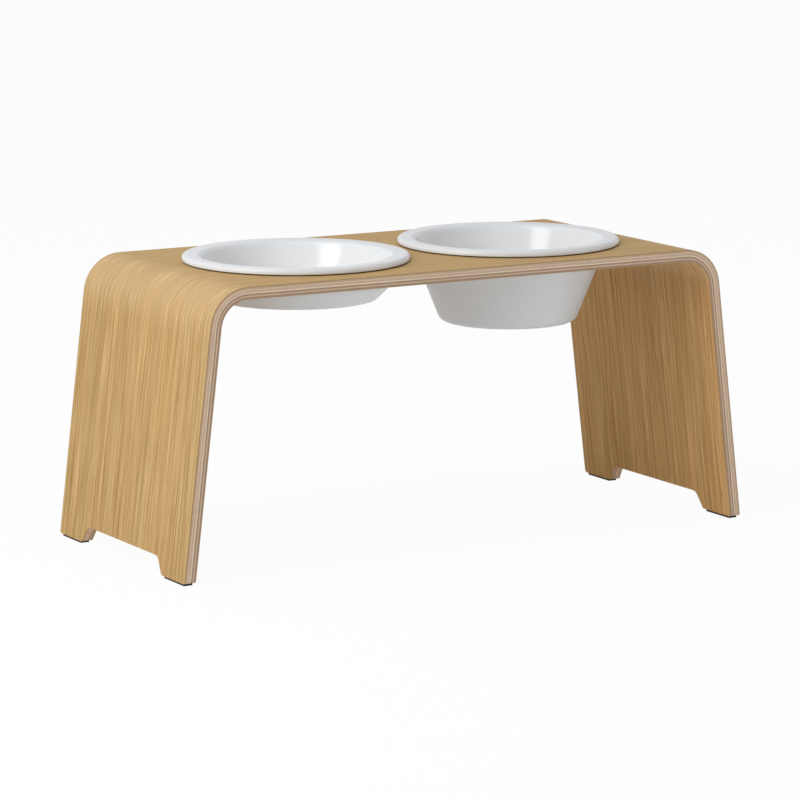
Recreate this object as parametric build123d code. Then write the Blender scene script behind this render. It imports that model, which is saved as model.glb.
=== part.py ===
from build123d import *

import os
from math import cos, hypot, radians, tan

# All sizes are in millimetres. The origin is on the floor, under the middle of the bench:
# +X runs along the bench towards the deep bowl, +Y to its back edge and +Z up.

# Bench: one board of moulded plywood, bent down at both ends
BENCH_HEIGHT = 220.0        # floor to the top face
BENCH_WIDTH = 214.0         # front edge to back edge
TOP_LENGTH = 445.0          # between the sharp corners that the two bends round off
LEG_SPLAY = radians(7.0)    # each leg leans outwards by this angle
BEND_RADIUS = 31.5          # outer face of each bend
FACE_VENEER = 0.6           # oak sheet on each face
CORE_PLY = 1.16             # each beech sheet between the two
CORE_PLIES = 7

# Notch in the bottom of each leg, which leaves two feet
NOTCH_HALF_WIDTH = 68.5     # at the soles
NOTCH_TAPER = 8.5           # how much nearer the middle each side is at the top of the notch
NOTCH_HEIGHT = 13.0         # from the soles
NOTCH_CORNER = 8.0
FOOT_CORNER = 2.5

# Pad under each foot
PAD_THICKNESS = 1.8
PAD_INSET_ALONG = 3.0       # from both ends of the foot
PAD_INSET_ACROSS = 0.8      # from the faces of the leg
PAD_CORNER = 1.2
PAD_EDGE = 0.3

# Both bowls hang by the same rim in the same round hole
BOWL_SPACING = 192.0        # centre to centre
HOLE_RADIUS = 79.0
HOLE_CLEARANCE = 0.8        # between the hole and the neck of a bowl
SEAT_OVERLAP = 5.0          # how far the flat seat reaches over the wood
SEAT_HEIGHT = 1.3           # how far the lip beyond the seat stays above the wood
LIP_OVERHANG = 4.0          # from the seat to the outside of the lip
LIP_THICKNESS = 4.4
LIP_ROUND = 2.0
RIM_DISH = 0.6              # how much the top of the rim falls towards the inside
RIM_ROLL = 4.5              # round from the rim into the bowl
WALL = 5.2                  # pottery thickness of the neck and of the floor
FOOT_RING_WIDTH = 5.0
FOOT_RING_HEIGHT = 0.8
SMALL_ROUND = 0.4

# Deep bowl: one plain cone
DEEP_DEPTH = 62.0           # from the top of the bench to the underside of the bowl
DEEP_WALL_RUN = 24.4        # how far the wall comes in on its way down
DEEP_BASE_CORNER = 8.0
DEEP_FLOOR_RADIUS = 50.3    # where the wall inside would meet the floor, were the corner sharp
DEEP_FLOOR_CORNER = 11.0

# Shallow bowl: a steep neck, then a wall that slopes at about 45 degrees, and a plain cone inside
SHALLOW_DEPTH = 29.6
SHALLOW_NECK_DEPTH = 17.5
SHALLOW_NECK_RUN = 3.5
SHALLOW_WALL_RUN = 12.1
SHALLOW_KNUCKLE = 9.0
SHALLOW_BASE_CORNER = 4.0
SHALLOW_FLOOR_RADIUS = 62.5
SHALLOW_FLOOR_CORNER = 10.0

# What follows from these
BOARD = 2 * FACE_VENEER + CORE_PLIES * CORE_PLY
SOLE = PAD_THICKNESS
NECK_RADIUS = HOLE_RADIUS - HOLE_CLEARANCE
SEAT_RADIUS = HOLE_RADIUS + SEAT_OVERLAP
RIM_RADIUS = SEAT_RADIUS + LIP_OVERHANG
LIP_UNDERSIDE = BENCH_HEIGHT + SEAT_HEIGHT
RIM_TOP = LIP_UNDERSIDE + LIP_THICKNESS


def leg_at(depth, height):
    """How far from the middle the leg's surface lies, at a depth in the board and a height."""
    return TOP_LENGTH / 2 - depth / cos(LEG_SPLAY) + (BENCH_HEIGHT - height) * tan(LEG_SPLAY)


def half_line(depth):
    """Foot and bend of the surface that lies this deep in the board, as (x, z, corner radius)."""
    height = BENCH_HEIGHT - depth
    return [(leg_at(depth, SOLE), SOLE, 0), (leg_at(depth, height), height, BEND_RADIUS - depth)]


def mirrored(points):
    """The same points on the other side, in the opposite order."""
    return [(-x, y, radius) for x, y, radius in reversed(points)]


def rounded_face(corners):
    """A flat face from (x, y, corner radius) points."""
    points = [(x, y) for x, y, _ in corners]
    radii = [radius for _, _, radius in corners]
    return make_face(FilletPolyline(*points, radius=radii, close=True))


def bent_sheet(near, far):
    """The stretch of the bent board between two depths under its outer face, still untrimmed."""
    outer = half_line(near)
    inner = half_line(far)[::-1]
    outline = outer + mirrored(outer) + mirrored(inner) + inner
    return extrude(Plane.XZ * rounded_face(outline), BENCH_WIDTH / 2, both=True)


def end_view():
    """The bench seen from its end, as a prism along its length: two feet and the notch."""
    half = [
        (BENCH_WIDTH / 2, BENCH_HEIGHT, 0),
        (BENCH_WIDTH / 2, SOLE, FOOT_CORNER),
        (NOTCH_HALF_WIDTH, SOLE, FOOT_CORNER),
        (NOTCH_HALF_WIDTH - NOTCH_TAPER, SOLE + NOTCH_HEIGHT, NOTCH_CORNER),
    ]
    outline = half + mirrored(half)
    return extrude(Plane.YZ * rounded_face(outline), leg_at(0, 0), both=True)


def bowl_holes():
    """The two round holes in the top, as cylinders through the board."""
    middle = BENCH_HEIGHT - BOARD / 2
    hole = Cylinder(HOLE_RADIUS, 2 * BOARD)
    return [Pos(side * BOWL_SPACING / 2, 0, middle) * hole for side in (-1, 1)]


def make_bench():
    """Each sheet of the board, from the outside in, with its node name."""
    trim = end_view()
    holes = bowl_holes()
    layers = [("outer_face_veneer", FACE_VENEER)]
    layers += [(f"core_ply_{number + 1}", CORE_PLY) for number in range(CORE_PLIES)]
    layers += [("inner_face_veneer", FACE_VENEER)]
    sheets = {}
    depth = 0
    for name, thickness in layers:
        sheet = (bent_sheet(depth, depth + thickness) & trim) - holes
        sheets[name] = sheet
        depth += thickness
    return sheets


def bowl(centre, walls, floor_radius, floor_corner):
    """A bowl that hangs by its rim.

    walls holds the outside corners (radius, height, corner radius) from the base up to the neck.
    Inside, one cone runs down from the rim and meets the floor at floor_radius.
    """
    base_radius, base, base_corner = walls[0]
    lower_radius, lower, _ = walls[-2]
    lean = (NECK_RADIUS - lower_radius) / (BENCH_HEIGHT - lower)
    inner_top = RIM_TOP - RIM_DISH
    neck_at_top = NECK_RADIUS + (inner_top - BENCH_HEIGHT) * lean
    rim_inside = neck_at_top - WALL * hypot(1, lean)
    ring_inside = base_radius - base_corner - FOOT_RING_WIDTH
    outline = [
        (0, base + FOOT_RING_HEIGHT, 0),
        (ring_inside - FOOT_RING_HEIGHT, base + FOOT_RING_HEIGHT, SMALL_ROUND),
        (ring_inside, base, SMALL_ROUND),
        *walls,
        (SEAT_RADIUS, BENCH_HEIGHT, SMALL_ROUND),
        (SEAT_RADIUS, LIP_UNDERSIDE, SMALL_ROUND),
        (RIM_RADIUS, LIP_UNDERSIDE, LIP_ROUND),
        (RIM_RADIUS, RIM_TOP, LIP_ROUND),
        (rim_inside, inner_top, RIM_ROLL),
        (floor_radius, base + WALL, floor_corner),
        (0, base + WALL, 0),
    ]
    return Pos(centre, 0, 0) * revolve(Plane.XZ * rounded_face(outline), Axis.Z)


def make_bowls():
    """The shallow bowl on the left and the deep bowl on the right."""
    deep_base = (NECK_RADIUS - DEEP_WALL_RUN, BENCH_HEIGHT - DEEP_DEPTH, DEEP_BASE_CORNER)
    neck_end = (NECK_RADIUS - SHALLOW_NECK_RUN, BENCH_HEIGHT - SHALLOW_NECK_DEPTH)
    shallow_base = (neck_end[0] - SHALLOW_WALL_RUN, BENCH_HEIGHT - SHALLOW_DEPTH)
    neck = (NECK_RADIUS, BENCH_HEIGHT, 0)
    shallow_walls = [(*shallow_base, SHALLOW_BASE_CORNER), (*neck_end, SHALLOW_KNUCKLE), neck]
    left, right = -BOWL_SPACING / 2, BOWL_SPACING / 2
    return {
        "shallow_bowl": bowl(left, shallow_walls, SHALLOW_FLOOR_RADIUS, SHALLOW_FLOOR_CORNER),
        "deep_bowl": bowl(right, [deep_base, neck], DEEP_FLOOR_RADIUS, DEEP_FLOOR_CORNER),
    }


def make_pads():
    """A pad stuck to the sole of each foot."""
    outer = leg_at(0, SOLE) - PAD_INSET_ACROSS
    inner = leg_at(BOARD, SOLE) + PAD_INSET_ACROSS
    far_end = BENCH_WIDTH / 2 - PAD_INSET_ALONG
    near_end = NOTCH_HALF_WIDTH + PAD_INSET_ALONG
    blank = extrude(RectangleRounded(outer - inner, far_end - near_end, PAD_CORNER), PAD_THICKNESS)
    blank = fillet(blank.edges().group_by(Axis.Z)[0], PAD_EDGE)
    pads = {}
    for x_side, end in ((-1, "left"), (1, "right")):
        for y_side, edge in ((-1, "front"), (1, "back")):
            place = Pos(x_side * (outer + inner) / 2, y_side * (far_end + near_end) / 2, 0)
            pads[f"pad_{edge}_{end}"] = place * blank
    return pads


def main():
    os.makedirs("parts", exist_ok=True)
    pieces = {**make_bench(), **make_bowls(), **make_pads()}
    for name, piece in pieces.items():
        export_step(piece, f"parts/{name}.step")


main()
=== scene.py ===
from math import ceil, cos, hypot, pi, radians, sin, tan

import bpy
import numpy as np
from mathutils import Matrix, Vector


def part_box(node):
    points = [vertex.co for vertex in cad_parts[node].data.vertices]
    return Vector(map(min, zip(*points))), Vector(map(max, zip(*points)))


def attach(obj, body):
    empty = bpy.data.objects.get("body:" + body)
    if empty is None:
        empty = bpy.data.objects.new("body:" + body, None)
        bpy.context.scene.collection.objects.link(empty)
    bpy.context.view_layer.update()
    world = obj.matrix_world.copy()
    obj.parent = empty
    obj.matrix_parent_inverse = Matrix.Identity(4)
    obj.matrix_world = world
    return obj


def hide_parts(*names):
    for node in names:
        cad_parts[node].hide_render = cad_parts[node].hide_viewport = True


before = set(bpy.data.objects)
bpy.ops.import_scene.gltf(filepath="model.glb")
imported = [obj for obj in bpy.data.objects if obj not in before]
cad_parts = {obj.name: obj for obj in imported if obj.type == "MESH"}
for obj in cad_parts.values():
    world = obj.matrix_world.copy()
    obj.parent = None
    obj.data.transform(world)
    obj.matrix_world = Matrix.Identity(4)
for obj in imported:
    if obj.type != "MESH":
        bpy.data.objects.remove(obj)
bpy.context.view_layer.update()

# Sizes are in metres, in the frame of the solids: +X along the bench towards the deep bowl,
# +Y to its back edge, +Z up from the floor.
MM = 0.001

# Bench: one board of nine sheets, bent down at both ends
SHEETS = ["outer_face_veneer"]
SHEETS += [f"core_ply_{number + 1}" for number in range(7)]
SHEETS += ["inner_face_veneer"]
BENCH_LOW, BENCH_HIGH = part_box("outer_face_veneer")
TOP = BENCH_HIGH.z
SOLE = BENCH_LOW.z
HALF_WIDTH = BENCH_HIGH.y
FACE_VENEER = 0.6 * MM
LEG_SPLAY = radians(7)
BEND_RADIUS = 31.5 * MM
BEND_TURN = pi / 2 - LEG_SPLAY
BEND_X = BENCH_HIGH.x - (TOP - SOLE) * tan(LEG_SPLAY) - BEND_RADIUS * tan(BEND_TURN / 2)
BEND_Z = TOP - BEND_RADIUS
NOTCH_HALF_WIDTH = 68.5 * MM
NOTCH_TAPER = 8.5 * MM
NOTCH_HEIGHT = 13 * MM
NOTCH_CORNER = 8 * MM
FOOT_CORNER = 2.5 * MM
ARRIS = 0.3 * MM            # how far the edges of the two face veneers are sanded back
ARRIS_STEPS = 3
SHARP_EDGE = radians(40)    # faces that meet more steeply keep a crisp edge between them
HOLE_RADIUS = 79 * MM

# Both bowls have the same rim
DEEP_LOW, RIM_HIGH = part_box("deep_bowl")
SHALLOW_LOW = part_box("shallow_bowl")[0]
BOWL_X = (DEEP_LOW.x + RIM_HIGH.x) / 2
RIM_RADIUS = (RIM_HIGH.x - DEEP_LOW.x) / 2
RIM_TOP = RIM_HIGH.z
HOLE_CLEARANCE = 0.8 * MM   # between the hole and the neck of a bowl
SEAT_OVERLAP = 5 * MM       # how far the flat seat reaches over the wood
LIP_GAP = 0.8 * MM          # from the wood up to the lip beyond the seat
NECK_RADIUS = HOLE_RADIUS - HOLE_CLEARANCE
SEAT_RADIUS = HOLE_RADIUS + SEAT_OVERLAP
LIP_UNDERSIDE = TOP + LIP_GAP
LIP_ROUND = 3 * MM
LIP_LOWER_ROUND = 0.8 * MM
RIM_DISH = 0.6 * MM         # how much the top of the rim falls towards the inside
RIM_ROLL = 4.5 * MM         # round from the rim into the bowl
WALL = 5.2 * MM             # pottery thickness of the neck and of the floor
FOOT_RING_WIDTH = 5 * MM
FOOT_RING_HEIGHT = 0.8 * MM
SMALL_ROUND = 0.4 * MM
GLOSS_STARTS = 0.3 * MM     # below the inside of the rim the satin glaze turns glossy
GLOSS_FADE = 3 * MM         # over this height

# Below the rim the deep bowl is one plain cone, and the shallow one has a steep neck over a wall
# that slopes at about 45 degrees
DEEP_WALL_RUN = 24.4 * MM
DEEP_BASE_CORNER = 8 * MM
DEEP_FLOOR_RADIUS = 50.3 * MM
DEEP_FLOOR_CORNER = 11 * MM
SHALLOW_NECK_DEPTH = 17.5 * MM
SHALLOW_NECK_RUN = 3.5 * MM
SHALLOW_WALL_RUN = 12.1 * MM
SHALLOW_KNUCKLE = 9 * MM
SHALLOW_BASE_CORNER = 4 * MM
SHALLOW_FLOOR_RADIUS = 62.5 * MM
SHALLOW_FLOOR_CORNER = 10 * MM

# How finely the surfaces are divided
ARC_STEP = radians(4)
STATION = 3 * MM            # longest step on a straight run
HOLE_ROWS = 6               # from the edge of a hole to the edge of the flat top
BEND_ROWS = 28
LEG_ROWS = 24
BOWL_COLUMNS = 256
WELD_DECIMALS = 7           # points that agree to this many decimals become one

# Camera, where the photograph was taken from
CAMERA_AZIMUTH = radians(-30.13)
CAMERA_ELEVATION = radians(10.15)
CAMERA_DISTANCE = 3.1326
CAMERA_TARGET = Vector((-3.2 * MM, 0, 101.9 * MM))
CAMERA_LENS = 179.0         # focal length in millimetres


def unit(vector):
    """The vector made one long."""
    return vector / np.linalg.norm(vector)


def rounded_line(corners):
    """Points of a line through (a, b, radius) corners.

    Each corner becomes an arc that touches both straight runs, radius / tan(half the corner's
    angle) away from it, and no step of an arc turns by more than ARC_STEP.
    """
    places = np.array([corner[:2] for corner in corners])
    parts = [places[:1]]
    for index in range(1, len(corners) - 1):
        corner, radius = places[index], corners[index][2]
        back, onward = unit(places[index - 1] - corner), unit(places[index + 1] - corner)
        half = np.arccos(np.clip(back @ onward, -1, 1)) / 2
        if radius == 0:
            parts.append(corner[None])
            continue
        centre = corner + unit(back + onward) * radius / sin(half)
        first = corner + back * radius / tan(half) - centre
        last = corner + onward * radius / tan(half) - centre
        turn = pi - 2 * half
        share = np.linspace(0, 1, ceil(turn / ARC_STEP) + 1)[:, None]
        arc = (np.sin((1 - share) * turn) * first + np.sin(share * turn) * last) / sin(turn)
        parts.append(centre + arc)
    parts.append(places[-1:])
    return np.concatenate(parts)


def divided(line, longest):
    """The same line with extra points, evenly spaced, on every run longer than a length."""
    parts = [line[:1]]
    for start, end in zip(line[:-1], line[1:]):
        steps = max(ceil(np.linalg.norm(end - start) / longest), 1)
        parts.append(start + (end - start) * np.arange(1, steps + 1)[:, None] / steps)
    return np.concatenate(parts)


def grid_quads(rows, columns, first=0):
    """Faces of a grid of points, numbered row by row."""
    index = first + np.arange(rows * columns).reshape(rows, columns)
    corners = [index[:-1, :-1], index[1:, :-1], index[1:, 1:], index[:-1, 1:]]
    return np.stack(corners, -1).reshape(-1, 4)


def foot_line():
    """The lower edge of a leg from its front to its back: y and height at every station.

    One half runs from the middle of the notch over the back foot and up its outer corner, and
    the other half mirrors it in y = 0.
    """
    half = rounded_line([
        (0, SOLE + NOTCH_HEIGHT, 0),
        (NOTCH_HALF_WIDTH - NOTCH_TAPER, SOLE + NOTCH_HEIGHT, NOTCH_CORNER),
        (NOTCH_HALF_WIDTH, SOLE, FOOT_CORNER),
        (HALF_WIDTH, SOLE, FOOT_CORNER),
        (HALF_WIDTH, TOP, 0),
    ])[:-1]
    half = divided(half, STATION)
    return np.concatenate([half[:0:-1] * (-1, 1), half])


def top_half(depth):
    """The flat part of the board from its middle to one bend, around one hole, at a depth.

    Each ray leaves the hole's edge and ends on the edge of the rectangle; a point lies a share
    of the way along its ray. Also gives the distance along the board.
    """
    ys = foot_line()[:, 0]
    xs = np.linspace(0, BEND_X, ceil(BEND_X / STATION) + 1)
    sides = [
        np.stack([np.full_like(ys, BEND_X), ys], -1)[:-1],
        np.stack([xs[::-1], np.full_like(xs, HALF_WIDTH)], -1)[:-1],
        np.stack([np.zeros_like(ys), ys[::-1]], -1)[:-1],
        np.stack([xs, np.full_like(xs, -HALF_WIDTH)], -1),
    ]
    outer = np.concatenate(sides)
    centre = np.array([BOWL_X, 0])
    away = outer - centre
    inner = centre + HOLE_RADIUS * away / np.linalg.norm(away, axis=1, keepdims=True)
    share = np.linspace(0, 1, HOLE_ROWS + 1)[:, None, None]
    plan = inner + share * (outer - inner)
    points = np.concatenate([plan, np.full((*plan.shape[:2], 1), TOP - depth)], -1)
    return points, plan[..., 0]


def leg_half(depth):
    """One bend and leg at a depth in the board.

    The bend is an arc of BEND_RADIUS less the depth. Below it the leg runs straight, leaning
    outwards by LEG_SPLAY, down to the foot line. The rows go from 0 to 1 round the bend and from
    1 to 2 down the leg. Also gives the distance along the board.
    """
    ys, feet = foot_line().T
    rows = np.concatenate([np.linspace(0, 1, BEND_ROWS + 1), np.linspace(1, 2, LEG_ROWS + 1)[1:]])
    turn = np.minimum(rows, 1)[:, None] * BEND_TURN
    radius = BEND_RADIUS - depth
    bend_x = BEND_X + radius * np.sin(turn)
    bend_z = BEND_Z + radius * np.cos(turn)
    drop = np.maximum(rows - 1, 0)[:, None] * (bend_z - feet)
    points = np.stack(np.broadcast_arrays(bend_x + drop * tan(LEG_SPLAY), ys, bend_z - drop), -1)
    along = BEND_X + BEND_RADIUS * turn + drop / cos(LEG_SPLAY)
    return points, along


def sheet_surface(depth):
    """The whole bent board at a depth: half of it, and the same half turned round the Z axis."""
    points, alongs, quads = [], [], []
    first = 0
    for half_turn in (1, -1):
        for patch, along in (top_half(depth), leg_half(depth)):
            quads.append(grid_quads(*patch.shape[:2], first))
            points.append(patch.reshape(-1, 3) * (half_turn, half_turn, 1))
            alongs.append(along.ravel() * half_turn)
            first += along.size
    return np.concatenate(points), np.concatenate(alongs), np.concatenate(quads)


def lone_edges(faces):
    """The edges, as pairs of points, that only one of the four-sided faces uses.

    Two faces that share an edge run along it in opposite directions, so an edge is free where
    none runs the other way.
    """
    edges = np.concatenate([faces[:, [corner, (corner + 1) % 4]] for corner in range(4)])
    size = faces.max() + 1
    return edges[~np.isin(edges @ (size, 1), edges @ (1, size))]


def new_mesh(name, points, faces):
    """A smooth-shaded mesh from an array of points and lists of their numbers."""
    mesh = bpy.data.meshes.new(name)
    mesh.from_pydata(points.tolist(), [], faces)
    mesh.shade_smooth()
    return mesh


def new_piece(mesh, body, node, finish):
    """A piece that stands for a solid, rides on its body and has its finish."""
    mesh.materials.append(finish)
    piece = bpy.data.objects.new(mesh.name, mesh)
    bpy.context.scene.collection.objects.link(piece)
    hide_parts(node)
    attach(piece, body)
    return piece


def make_sheet(node, near, far, finish, eased):
    """One sheet of the board, between two depths under its outer face.

    The surface at the near depth, the one at the far depth turned over, and a wall along every
    free edge. The attribute "board" keeps each point's place in the flat board, in millimetres:
    along it, across it and down into it. eased says which face has its free edge sanded: "near",
    "far" or None.
    """
    near_points, along, quads = sheet_surface(near)
    far_points, _, _ = sheet_surface(far)
    rounded = np.round(near_points, WELD_DECIMALS)
    _, kept, place = np.unique(rounded, axis=0, return_index=True, return_inverse=True)
    quads = place.ravel()[quads]
    near_points, far_points, along = near_points[kept], far_points[kept], along[kept]
    count = len(kept)
    start, end = lone_edges(quads).T
    walls = np.stack([end, start, start + count, end + count], -1)
    faces = np.concatenate([quads, quads[:, ::-1] + count, walls])
    mesh = new_mesh(f"{node}_sheet", np.concatenate([near_points, far_points]), faces.tolist())
    mesh.set_sharp_from_angle(angle=SHARP_EDGE)

    board = np.empty((2 * count, 3))
    board[:, 0] = np.tile(along, 2)
    board[:, 1] = np.tile(near_points[:, 1], 2)
    board[:, 2] = np.repeat((near, far), count)
    attribute = mesh.attributes.new("board", "FLOAT_VECTOR", "POINT")
    attribute.data.foreach_set("vector", (board / MM).ravel())

    piece = new_piece(mesh, "bench", node, finish)
    if eased:
        ease_arris(piece, faces, 0 if eased == "near" else count, count)


def ease_arris(piece, faces, first, count):
    """Rounds the free edge of one face of a sheet: the points from first on, count of them."""
    mesh = piece.data
    ends = np.empty(2 * len(mesh.edges), int)
    mesh.edges.foreach_get("vertices", ends)
    ends = ends.reshape(-1, 2)
    on_face = ((faces >= first) & (faces < first + count)).all(1)
    free = lone_edges(faces[on_face])
    size = len(mesh.vertices)
    free_keys = np.sort(free, axis=1) @ (size, 1)
    weights = np.isin(np.sort(ends, axis=1) @ (size, 1), free_keys).astype(float)
    attribute = mesh.attributes.new("bevel_weight_edge", "FLOAT", "EDGE")
    attribute.data.foreach_set("value", weights)
    bevel = piece.modifiers.new("arris", "BEVEL")
    bevel.limit_method = "WEIGHT"
    bevel.width = ARRIS
    bevel.segments = ARRIS_STEPS
    bevel.harden_normals = True


def bowl_profile(walls, floor_radius, floor_corner):
    """Radius and height of a bowl's outline, from the middle of its base round to inside.

    walls holds the outside corners (radius, height, corner radius) from the base up to the neck.
    Inside, one cone runs down from the rim and meets the floor at floor_radius.
    """
    base_radius, base, base_corner = walls[0]
    lower_radius, lower, _ = walls[-2]
    lean = (NECK_RADIUS - lower_radius) / (TOP - lower)
    inner_top = RIM_TOP - RIM_DISH
    neck_at_top = NECK_RADIUS + (inner_top - TOP) * lean
    ring_inside = base_radius - base_corner - FOOT_RING_WIDTH
    return divided(rounded_line([
        (0, base + FOOT_RING_HEIGHT, 0),
        (ring_inside - FOOT_RING_HEIGHT, base + FOOT_RING_HEIGHT, SMALL_ROUND),
        (ring_inside, base, SMALL_ROUND),
        *walls,
        (SEAT_RADIUS, TOP, SMALL_ROUND),
        (SEAT_RADIUS, LIP_UNDERSIDE, SMALL_ROUND),
        (RIM_RADIUS, LIP_UNDERSIDE, LIP_LOWER_ROUND),
        (RIM_RADIUS, RIM_TOP, LIP_ROUND),
        (neck_at_top - WALL * hypot(1, lean), inner_top, RIM_ROLL),
        (floor_radius, base + WALL, floor_corner),
        (0, base + WALL, 0),
    ]), STATION)


def make_bowl(node, centre, walls, floor, finish):
    """A profile carried round an upright axis: (radius cos turn, radius sin turn, height).

    Both ends of the profile lie on the axis, and each becomes one point. floor holds the radius
    and the corner radius of the floor inside. The attribute "inside" is 0 outside and on the
    rim, and rises to 1 over GLOSS_FADE from GLOSS_STARTS on.
    """
    profile = bowl_profile(walls, *floor)
    turn = np.arange(BOWL_COLUMNS) * 2 * pi / BOWL_COLUMNS
    radius, height = profile[1:-1].T
    rings = np.stack(np.broadcast_arrays(
        centre + radius[:, None] * np.cos(turn), radius[:, None] * np.sin(turn), height[:, None]
    ), -1).reshape(-1, 3)
    poles = [(centre, 0, profile[0, 1]), (centre, 0, profile[-1, 1])]
    rows = len(radius)
    index = np.arange(rows * BOWL_COLUMNS).reshape(rows, BOWL_COLUMNS)
    beside = np.roll(index, -1, axis=1)
    quads = np.stack([index[:-1], beside[:-1], beside[1:], index[1:]], -1).reshape(-1, 4)
    base_pole, floor_pole = np.arange(2) + rows * BOWL_COLUMNS
    base_fan = np.stack(np.broadcast_arrays(base_pole, beside[0], index[0]), -1)
    floor_fan = np.stack(np.broadcast_arrays(floor_pole, index[-1], beside[-1]), -1)
    faces = [*quads.tolist(), *base_fan.tolist(), *floor_fan.tolist()]
    mesh = new_mesh(f"{node}_glazed", np.concatenate([rings, poles]), faces)
    past_rim = np.arange(rows) > radius.argmax()
    below_rim = RIM_TOP - RIM_DISH - height
    share_inside = past_rim * np.clip((below_rim - GLOSS_STARTS) / GLOSS_FADE, 0, 1)
    share_inside = np.append(np.repeat(share_inside, BOWL_COLUMNS), (0, 1))
    attribute = mesh.attributes.new("inside", "FLOAT", "POINT")
    attribute.data.foreach_set("value", share_inside)
    new_piece(mesh, node, node, finish)


class Value:
    """A number on its way through the nodes: each operator on it adds a Math node."""

    def __init__(self, nodes, socket):
        self.nodes = nodes
        self.socket = socket

    def maths(self, operation, *terms):
        """One Math node, with the terms as its inputs."""
        return self.nodes.node("ShaderNodeMath", {"operation": operation}, dict(enumerate(terms)))

    def __add__(self, other):
        return self.maths("ADD", self, other)

    def __mul__(self, other):
        return self.maths("MULTIPLY", self, other)

    def __sub__(self, other):
        return self.maths("SUBTRACT", self, other)

    def __rsub__(self, other):
        return self.maths("SUBTRACT", other, self)

    def __abs__(self):
        return self.maths("ABSOLUTE", self)

    __radd__ = __add__
    __rmul__ = __mul__


class Nodes:
    """A node tree, and the one way in which nodes are added to it."""

    def __init__(self, tree):
        self.tree = tree

    def put(self, socket, value):
        """Links a value to a socket, or sets the socket to a plain number or colour."""
        if isinstance(value, Value):
            self.tree.links.new(value.socket, socket)
        else:
            socket.default_value = value

    def node(self, kind, settings, inputs, output=0):
        """Adds a node of a type, with its settings first and then its sockets."""
        node = self.tree.nodes.new(kind)
        for name, setting in settings.items():
            setattr(node, name, setting)
        for name, value in inputs.items():
            self.put(node.inputs[name], value)
        return Value(self, node.outputs[output])

    def mix(self, share, low, high, blend="MIX"):
        """One colour where share is 0, the other, or both blended, where it is 1.

        Sockets 0, 6 and 7 are the node's factor and its two colours, and output 2 is its colour.
        """
        settings = {"data_type": "RGBA", "blend_type": blend}
        return self.node("ShaderNodeMix", settings, {0: share, 6: low, 7: high}, 2)

    def step(self, value, low, high):
        """0 below low, 1 above high, and smooth between."""
        inputs = {"Value": value, "From Min": low, "From Max": high}
        return self.node("ShaderNodeMapRange", {"interpolation_type": "SMOOTHSTEP"}, inputs)

    def noise(self, place, sizes, seed, detail=2.0, roughness=0.5):
        """Cloudy values from 0 to 1, whose spots are as large as sizes along the three axes."""
        scaled = self.node(
            "ShaderNodeVectorMath",
            {"operation": "DIVIDE"},
            {0: place, 1: sizes},
        )
        return self.node(
            "ShaderNodeTexNoise",
            {"noise_dimensions": "4D"},
            {"Vector": scaled, "W": seed, "Scale": 1.0, "Detail": detail, "Roughness": roughness},
        )

    def seen_or_reflected(self):
        """1 for rays from the camera and for reflected and refracted ones, 0 for the rest."""
        rays = self.node("ShaderNodeLightPath", {}, {}).socket.node.outputs
        camera, glossy, through = [
            Value(self, rays[name])
            for name in ("Is Camera Ray", "Is Glossy Ray", "Is Transmission Ray")
        ]
        return camera.maths("MAXIMUM", camera, glossy.maths("MAXIMUM", glossy, through))


class Finish(Nodes):
    """A material with a Principled shader; even holds what is the same all over it."""

    def __init__(self, name, **even):
        self.material = bpy.data.materials.new(name)
        self.material.use_nodes = True
        super().__init__(self.material.node_tree)
        self.shader = self.tree.nodes["Principled BSDF"]
        for socket, value in even.items():
            self.put(self.shader.inputs[socket.replace("_", " ")], value)

    def feed(self, socket, value):
        """Puts what varies over the surface into the shader."""
        self.put(self.shader.inputs[socket], value)

    def bump(self, height, distance, strength):
        """Relief: height 1 stands a distance, in metres, above height 0."""
        inputs = {"Height": height, "Distance": distance, "Strength": strength}
        self.feed("Normal", self.node("ShaderNodeBump", {}, inputs))


def colour(red, green, blue):
    """A screen colour, 0 to 255, as the linear one that a shader takes."""
    linear = [
        level / 12.92 if level <= 0.04045 else ((level + 0.055) / 1.055) ** 2.4
        for level in (red / 255, green / 255, blue / 255)
    ]
    return (*linear, 1.0)


def board_place(finish):
    """A point's place in the flat board, in millimetres: all of it, and its three parts."""
    board = finish.node("ShaderNodeAttribute", {"attribute_name": "board"}, {}, "Vector")
    parts = finish.node("ShaderNodeSeparateXYZ", {}, {"Vector": board})
    along, across, depth = [Value(finish, socket) for socket in parts.socket.node.outputs]
    return board, along, across, depth


# Where the board's finish changes: the start and the end of each fade, in millimetres
BEND_STARTS = (184.0, 214.0)        # along the board, from its middle
BEND_ENDS = (222.0, 258.0)
INNER_FACE = (4.0, 5.0)             # down into the board
# Ring of painted shadow under the lip of each bowl
LIP_PAINTED_SHADOW_STARTS = (83.0, 84.5)     # from the centre of a hole
LIP_PAINTED_SHADOW_ENDS = (85.5, 88.0)
LONG_EDGE = (100.0, 104.0)          # across the board, from its middle
SANDED_EDGE = (106.5, 106.9)
GLUE_ENDS = (0.03, 0.14)            # from either face of a core sheet

OAK_DARK = colour(137, 100, 45)
OAK_PALE = colour(213, 182, 130)
OAK_LINE = colour(140, 97, 48)
# Pale painted highlight over the bends
OAK_BEND_PAINTED_HIGHLIGHT = colour(226, 199, 168)
OAK_FLECK = colour(246, 218, 176)
OAK_PORE = colour(112, 80, 44)
OAK_SANDED = colour(158, 132, 106)
# Painted shadow under the lips of the bowls
LIP_PAINTED_SHADOW = colour(70, 44, 20)
GLUE = colour(104, 78, 56)

# Tints, which a colour is multiplied by
OLIVE = (0.985, 1.01, 1.02, 1.0)
ORANGE = (1.035, 1.01, 0.99, 1.0)
# Painted fill light: lightens and reddens the inner face
INNER_FACE_PAINTED_FILL = (1.22, 1.13, 1.1, 1.0)
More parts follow.
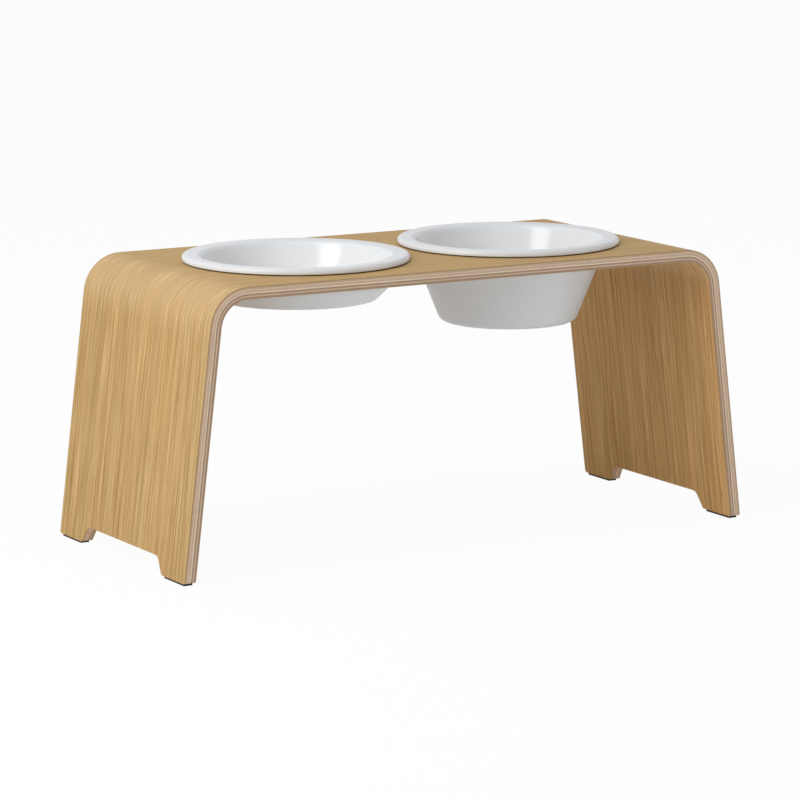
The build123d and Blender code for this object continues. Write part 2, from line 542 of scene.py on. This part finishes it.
# Painted shade on the cuts of the notches and holes
CUT_PAINTED_SHADE = (0.93, 0.86, 0.78, 1.0)

# How far the grain strays sideways, in millimetres, over long and over short stretches
LONG_WANDER = 9.0
SHORT_WANDER = 2.0

# Streaks in the oak, from slow bands to short fine ones: length and width in millimetres, and
# how strongly each shows
OAK_STREAKS = [
    (900.0, 13.0, 0.16),
    (600.0, 5.5, 0.24),
    (220.0, 2.6, 0.64),
    (110.0, 1.3, 1.10),
    (45.0, 0.8, 0.80),
]


def oak(name):
    """Satin-lacquered oak veneer, its grain along the board.

    Streaks of five widths add up to one tone between a dark and a pale brown. Thin dark lines
    gather in bands over it, and so does a slow change from olive to orange. All are stretched
    along the grain, which wanders by a few millimetres. The grain shows less on the top and over
    the bends than on the legs. A pale painted highlight lies over the bends, and thin pale flecks
    show where the veneer is bent. The inner face is plainer, and is painted lighter and redder as
    painted fill light. A dark painted shadow lies under the lip of each bowl, and the sanded
    front and back edges are greyer.
    """
    finish = Finish(name, IOR=1.45, Specular_IOR_Level=0.1)
    board, along, across, depth = board_place(finish)
    wander = (finish.noise(board, (240.0, 70.0, 70.0), seed=1.0) - 0.5) * LONG_WANDER
    wander = wander + (finish.noise(board, (50.0, 14.0, 14.0), seed=12.0) - 0.5) * SHORT_WANDER
    grain = finish.node("ShaderNodeCombineXYZ", {}, {"X": along, "Y": across + wander, "Z": depth})

    distance = abs(along)
    off_leg = 1 - finish.step(distance, *BEND_ENDS)
    bent = finish.step(distance, *BEND_STARTS) * off_leg
    inner_face = finish.step(depth, *INNER_FACE)

    tone = 0.5
    for seed, (length, width, contrast) in enumerate(OAK_STREAKS, 2):
        streaks = finish.noise(grain, (length, width, width), float(seed), detail=1.0)
        tone = tone + contrast * (streaks - 0.5)
    tone = 0.5 + (tone - 0.5) * (1 - 0.15 * inner_face) * (1 - 0.35 * off_leg)
    shade = finish.mix(tone, OAK_DARK, OAK_PALE)

    clusters = finish.noise(grain, (300.0, 8.0, 8.0), seed=13.0, detail=1.0)
    clusters = finish.step(clusters, 0.35, 0.65)
    lines = finish.noise(grain, (120.0, 1.3, 1.3), seed=11.0, detail=1.0)
    lines = finish.step(lines, 0.57, 0.65)
    line_strength = (0.22 + 0.42 * clusters) * (1 - 0.3 * inner_face) * (1 - 0.75 * off_leg)
    shade = finish.mix(lines * line_strength, shade, OAK_LINE)

    warmth = finish.noise(grain, (600.0, 13.0, 13.0), seed=8.0)
    tint = finish.mix(finish.step(warmth, 0.3, 0.7), OLIVE, ORANGE)
    shade = finish.mix(1.0, shade, tint, "MULTIPLY")
    # Painted fill light: the inner face is made lighter and redder
    shade = finish.mix(inner_face, shade, INNER_FACE_PAINTED_FILL, "MULTIPLY")

    # Painted highlight: a pale wash over the bends
    shade = finish.mix(bent * 0.15, shade, OAK_BEND_PAINTED_HIGHLIGHT)
    flecks = finish.noise(grain, (32.0, 1.0, 1.0), seed=9.0, detail=0.0)
    flecks = finish.step(flecks, 0.67, 0.75)
    shade = finish.mix(flecks * (0.12 + 0.55 * bent), shade, OAK_FLECK)
    pores = finish.noise(grain, (22.0, 0.75, 0.75), seed=10.0, detail=1.0)
    pores = finish.step(pores, 0.6, 0.72)
    shade = finish.mix(pores * (0.25 + 0.2 * inner_face), shade, OAK_PORE)

    from_hole = distance - BOWL_X / MM
    radius = finish.node(
        "ShaderNodeMath",
        {"operation": "SQRT"},
        {0: from_hole * from_hole + across * across},
    )
    # Painted shadow: a dark ring on the wood under the lip of each bowl
    painted_lip_shadow = finish.step(radius, *LIP_PAINTED_SHADOW_STARTS) * (1 - finish.step(radius, *LIP_PAINTED_SHADOW_ENDS))
    shade = finish.mix(painted_lip_shadow * 0.85 * (1 - inner_face), shade, LIP_PAINTED_SHADOW)
    sanded = finish.step(abs(across), *SANDED_EDGE)
    shade = finish.mix(sanded * 0.7, shade, OAK_SANDED)

    finish.feed("Base Color", shade)
    finish.feed("Roughness", 0.5 + 0.2 * tone)
    finish.bump(tone - 0.5 * pores, 0.08 * MM, 0.6)
    return finish.material


def core_ply(name, tone, near, far, grain_along):
    """A sheet of the core, seen at the sanded edge of the board.

    Where the grain runs along the board, the edge shows long pale streaks; where it runs
    across, it shows end grain: short dark dots. A thin glue line darkens both faces. The cuts
    of the notches and the holes are painted darker and browner than the board's long edges:
    painted shade.
    """
    finish = Finish(name, IOR=1.45, Roughness=0.55)
    board, along, across, depth = board_place(finish)
    spots = (60.0, 1.0, 0.5) if grain_along else (1.6, 25.0, 0.6)
    streaks = finish.noise(board, spots, seed=1.0, detail=3.0, roughness=0.6)
    clouds = finish.noise(board, (22.0, 22.0, 1.5), seed=2.0)
    pale = colour(*(level * 1.05 for level in tone))
    dark = colour(*(level * 0.91 for level in tone))
    shade = finish.mix(finish.step(streaks, 0.3, 0.7), pale, dark)
    shade = finish.mix(0.3 * clouds, shade, dark)
    long_edge = finish.step(abs(across), *LONG_EDGE)
    # Painted shade: the cuts away from the long edges, in the notches and holes, are darkened
    shade = finish.mix(1 - long_edge, shade, CUT_PAINTED_SHADE, "MULTIPLY")
    from_face = finish.node(
        "ShaderNodeMath",
        {"operation": "MINIMUM"},
        {0: depth - near / MM, 1: far / MM - depth},
    )
    glue = 1 - finish.step(from_face, *GLUE_ENDS)
    shade = finish.mix(glue * 0.45, shade, GLUE)
    finish.feed("Base Color", shade)
    finish.bump(streaks - 0.6 * glue, 0.05 * MM, 0.5)
    return finish.material


def pottery_glaze():
    """White glaze, faintly uneven: glossy inside the bowl, satin on the rim and outside.

    The top of the rim is painted a touch greyer: painted shade.
    """
    finish = Finish("glazed_pottery", IOR=1.5)
    place = finish.node("ShaderNodeTexCoord", {}, {}, "Object")
    clouds = finish.noise(place, (50 * MM,) * 3, seed=1.0)
    orange_peel = finish.noise(place, (4 * MM,) * 3, seed=2.0, detail=1.0)
    inside = finish.node("ShaderNodeAttribute", {"attribute_name": "inside"}, {}, "Fac")
    parts = finish.node("ShaderNodeSeparateXYZ", {}, {"Vector": place})
    height = Value(finish, parts.socket.node.outputs["Z"])
    satin = finish.mix(clouds, colour(219, 224, 228), colour(224, 229, 232))
    # Painted shade: the top 3 mm of the rim is made greyer, toning down the light it catches
    painted_rim_shade = finish.step(height, RIM_TOP - 3 * MM, RIM_TOP - MM)
    satin = finish.mix(painted_rim_shade, satin, colour(213, 215, 218))
    glossy = finish.mix(clouds, colour(220, 221, 222), colour(225, 226, 227))
    finish.feed("Base Color", finish.mix(inside, satin, glossy))
    finish.feed("Roughness", 0.5 - inside * (0.37 - 0.04 * clouds))
    finish.bump(orange_peel, 0.01 * MM, 0.3)
    return finish.material


def pad_rubber():
    """Matt black rubber with a fine moulded grain and a few paler scuffs."""
    finish = Finish("pad_rubber", IOR=1.5)
    place = finish.node("ShaderNodeTexCoord", {}, {}, "Object")
    grain = finish.noise(place, (0.6 * MM,) * 3, seed=1.0, detail=3.0)
    scuffs = finish.noise(place, (4 * MM, MM, MM), seed=2.0)
    scuffs = finish.step(scuffs, 0.55, 0.8)
    finish.feed("Base Color", finish.mix(scuffs * 0.5, colour(30, 29, 28), colour(64, 62, 60)))
    finish.feed("Roughness", 0.7 + 0.2 * grain)
    finish.bump(grain, 0.05 * MM, 0.6)
    return finish.material


# Edge tones of the seven core sheets, from the outside in
CORE_TONES = [
    (199, 169, 136),
    (222, 194, 167),
    (206, 179, 154),
    (231, 207, 180),
    (169, 140, 114),
    (210, 182, 155),
    (166, 140, 115),
]


def make_bench():
    """The nine sheets of the board, whose grain runs along and across in turn, and the pads."""
    depths = [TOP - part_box(node)[1].z for node in SHEETS]
    depths.append(depths[-1] + FACE_VENEER)
    face_finish = oak("oak_face")
    for index, node in enumerate(SHEETS):
        near, far = depths[index:index + 2]
        if node.endswith("face_veneer"):
            eased = "near" if index == 0 else "far"
            make_sheet(node, near, far, face_finish, eased)
            continue
        grain_along = index % 2 == 0
        finish = core_ply(f"{node}_edge", CORE_TONES[index - 1], near, far, grain_along)
        make_sheet(node, near, far, finish, None)
    rubber = pad_rubber()
    for name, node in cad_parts.items():
        if name.startswith("pad_"):
            node.data.materials.clear()
            node.data.materials.append(rubber)


def make_bowls():
    """The shallow bowl on the left and the deep bowl on the right."""
    glaze = pottery_glaze()
    neck = (NECK_RADIUS, TOP, 0)
    deep_base = (NECK_RADIUS - DEEP_WALL_RUN, DEEP_LOW.z, DEEP_BASE_CORNER)
    neck_end = (NECK_RADIUS - SHALLOW_NECK_RUN, TOP - SHALLOW_NECK_DEPTH, SHALLOW_KNUCKLE)
    shallow_base = (neck_end[0] - SHALLOW_WALL_RUN, SHALLOW_LOW.z, SHALLOW_BASE_CORNER)
    deep_floor = (DEEP_FLOOR_RADIUS, DEEP_FLOOR_CORNER)
    shallow_floor = (SHALLOW_FLOOR_RADIUS, SHALLOW_FLOOR_CORNER)
    make_bowl("deep_bowl", BOWL_X, [deep_base, neck], deep_floor, glaze)
    make_bowl("shallow_bowl", -BOWL_X, [shallow_base, neck_end, neck], shallow_floor, glaze)


def direction(azimuth, elevation):
    """From the object towards a camera or lamp; azimuth 0 is in front of it, along -Y."""
    flat = cos(elevation)
    return Vector((sin(azimuth) * flat, -cos(azimuth) * flat, sin(elevation)))


def make_camera():
    """The camera, where a fit to the photograph's edges puts it."""
    data = bpy.data.cameras.new("camera")
    data.lens = CAMERA_LENS
    camera = bpy.data.objects.new("camera", data)
    bpy.context.scene.collection.objects.link(camera)
    towards = direction(CAMERA_AZIMUTH, CAMERA_ELEVATION)
    camera.location = CAMERA_TARGET + CAMERA_DISTANCE * towards
    camera.rotation_euler = towards.to_track_quat("Z", "Y").to_euler()
    bpy.context.scene.camera = camera


# Lamps: name, azimuth, elevation, distance, width, height, power in watts
LAMPS = [
    ("window_left", radians(-79), radians(38), 1.5, 0.6, 1.5, 14.0),
    ("fill_front", radians(-20), radians(35), 1.6, 1.0, 0.8, 0.7),
    ("softbox_back", radians(165), radians(58), 1.8, 1.6, 1.0, 3.0),
    ("strip_right", radians(60), radians(3), 1.8, 1.2, 0.2, 4.0),
]


def make_lamp(name, azimuth, elevation, distance, width, height, power):
    """A soft rectangular lamp that faces the middle of the bench."""
    data = bpy.data.lights.new(name, "AREA")
    data.shape = "RECTANGLE"
    data.size = width
    data.size_y = height
    data.energy = power
    lamp = bpy.data.objects.new(name, data)
    bpy.context.scene.collection.objects.link(lamp)
    away = direction(azimuth, elevation)
    lamp.location = CAMERA_TARGET + distance * away
    lamp.rotation_euler = away.to_track_quat("Z", "Y").to_euler()


WHITE = (1.0, 1.0, 1.0, 1.0)
FLOOR_COLOUR = (0.92, 0.92, 0.92, 1.0)
FLOOR_HALF = 12.0           # half the floor's side
FLOOR_GAP = 0.1 * MM        # between the floor and the pads
FLOOR_WHITE = 0.945         # share of plain white in what the camera sees of the floor
AMBIENT = 0.5               # strength of the world's light on the object


def make_floor():
    """A wide pale floor that the camera sees as nearly white, with the object's soft shadow."""
    corners = np.array([(-1, -1), (1, -1), (1, 1), (-1, 1)]) * FLOOR_HALF
    points = np.concatenate([corners, np.full((4, 1), -FLOOR_GAP)], 1)
    mesh = new_mesh("floor", points, [(0, 1, 2, 3)])
    floor = bpy.data.objects.new("floor", mesh)
    bpy.context.scene.collection.objects.link(floor)
    finish = Finish("pale_floor", Roughness=0.9, Specular_IOR_Level=0.0)
    finish.feed("Base Color", FLOOR_COLOUR)
    white = finish.node("ShaderNodeEmission", {}, {"Color": WHITE, "Strength": 1.0})
    lit = Value(finish, finish.shader.outputs[0])
    shown = FLOOR_WHITE * finish.seen_or_reflected()
    mixed = finish.node("ShaderNodeMixShader", {}, {0: shown, 1: lit, 2: white})
    finish.put(finish.tree.nodes["Material Output"].inputs["Surface"], mixed)
    mesh.materials.append(finish.material)


def make_world():
    """White to the camera and in reflections, and a plain soft light on everything else."""
    world = bpy.data.worlds.new("studio")
    bpy.context.scene.world = world
    world.use_nodes = True
    nodes = Nodes(world.node_tree)
    background = nodes.tree.nodes["Background"]
    nodes.put(background.inputs["Color"], WHITE)
    strength = AMBIENT + (1 - AMBIENT) * nodes.seen_or_reflected()
    nodes.put(background.inputs["Strength"], strength)


def make_studio():
    """Camera, lamps, floor and world."""
    make_camera()
    for lamp in LAMPS:
        make_lamp(*lamp)
    make_floor()
    make_world()
    bpy.context.scene.view_settings.view_transform = "Standard"


make_bench()
make_bowls()
make_studio()

bpy.context.view_layer.update()
